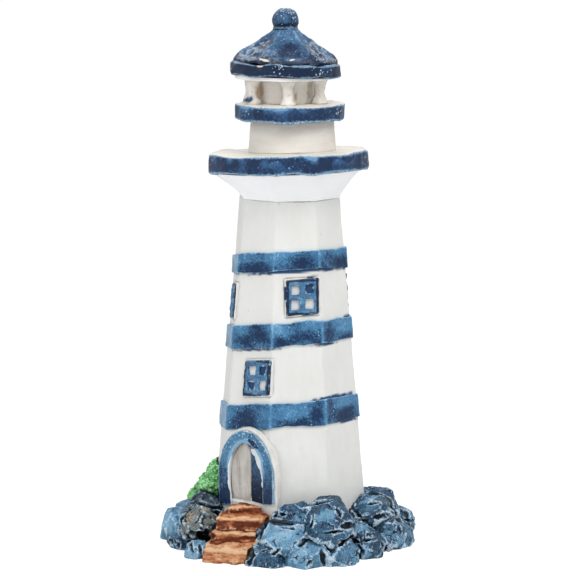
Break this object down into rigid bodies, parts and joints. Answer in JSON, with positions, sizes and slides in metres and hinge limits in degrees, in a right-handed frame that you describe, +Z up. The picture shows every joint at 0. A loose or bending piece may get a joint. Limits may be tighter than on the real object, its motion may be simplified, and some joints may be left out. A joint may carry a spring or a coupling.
{
  "type": "lighthouse garden ornament",
  "caption": "Hand-painted lighthouse ornament: a tapered octagonal tower with bands, a round gallery and a lantern, on a heap of rocks with steps to an arched door.",
  "frame": {"origin": "on the tower's axis, at the underside, on the surface it stands on", "axes": "+Z up along the tower; -Y out of the door; +X to the right of someone who faces the door"},
  "size_m": [0.0578, 0.0592, 0.12],
  "materials": {
    "ground_blue": "matt dark paint, hardly seen between the rocks",
    "wall_white": "matt off-white paint with faint upright brush marks",
    "porch_white": "matt off-white paint",
    "band_blue": "satin blue paint, rubbed lighter along the edges",
    "arch_navy": "satin dark blue paint with pale rubbed edges",
    "leaf_white": "matt white paint with a brown streak",
    "leaf_blue": "satin dark blue paint with a white slip",
    "step_sand": "matt sandy-orange paint with rust-brown creases",
    "bush_green": "matt bright green paint with dark hollows",
    "corbel_white": "matt cool white paint",
    "deck_blue": "satin dark blue paint on the rim, cream on top",
    "room_cream": "matt cream paint with a thin yellow-brown wash in the corners",
    "roof_navy": "satin dark blue paint with worn, lighter ridges",
    "casing_white": "matt white paint",
    "sash_blue": "satin dark blue paint",
    "rock_blue": "matt slate-blue paint, dry-brushed light blue, near black in the creases"
  },
  "bodies": {
    "root": {"base_slab": "ground_blue", "tower_shaft": "wall_white", "porch": "porch_white", "lower_band": "band_blue", "middle_band": "band_blue", "upper_band": "band_blue", "door_arch": "arch_navy", "left_door_leaf": "leaf_white", "right_door_leaf": "leaf_blue", "lower_step": "step_sand", "middle_step": "step_sand", "upper_step": "step_sand", "landing": "step_sand", "bush": "bush_green", "corbel": "corbel_white", "lantern_ceiling": "corbel_white", "gallery_deck": "deck_blue", "lantern_deck": "deck_blue", "watch_room": "room_cream", "lantern_core": "room_cream", "lantern_posts": "room_cream", "roof_brim": "roof_navy", "roof_cone": "roof_navy", "finial": "roof_navy", "front_casing": "casing_white", "front_sash": "sash_blue", "right_casing": "casing_white", "right_sash": "sash_blue", "left_casing": "casing_white", "left_sash": "sash_blue", "rear_right_casing": "casing_white", "rear_right_sash": "sash_blue", "rear_left_casing": "casing_white", "rear_left_sash": "sash_blue", "shore_rock_01": "rock_blue", "shore_rock_02": "rock_blue", "shore_rock_03": "rock_blue", "shore_rock_04": "rock_blue", "shore_rock_05": "rock_blue", "shore_rock_06": "rock_blue", "shore_rock_07": "rock_blue", "shore_rock_08": "rock_blue", "shore_rock_09": "rock_blue", "shore_rock_10": "rock_blue", "shore_rock_11": "rock_blue", "shore_rock_12": "rock_blue", "shore_rock_13": "rock_blue", "shore_rock_14": "rock_blue", "shore_rock_15": "rock_blue", "ledge_rock_01": "rock_blue", "ledge_rock_02": "rock_blue", "ledge_rock_03": "rock_blue", "ledge_rock_04": "rock_blue", "ledge_rock_05": "rock_blue", "ledge_rock_06": "rock_blue", "ledge_rock_07": "rock_blue", "ledge_rock_08": "rock_blue", "ledge_rock_09": "rock_blue", "ledge_rock_10": "rock_blue", "ledge_rock_11": "rock_blue"}
  },
  "joints": []
}
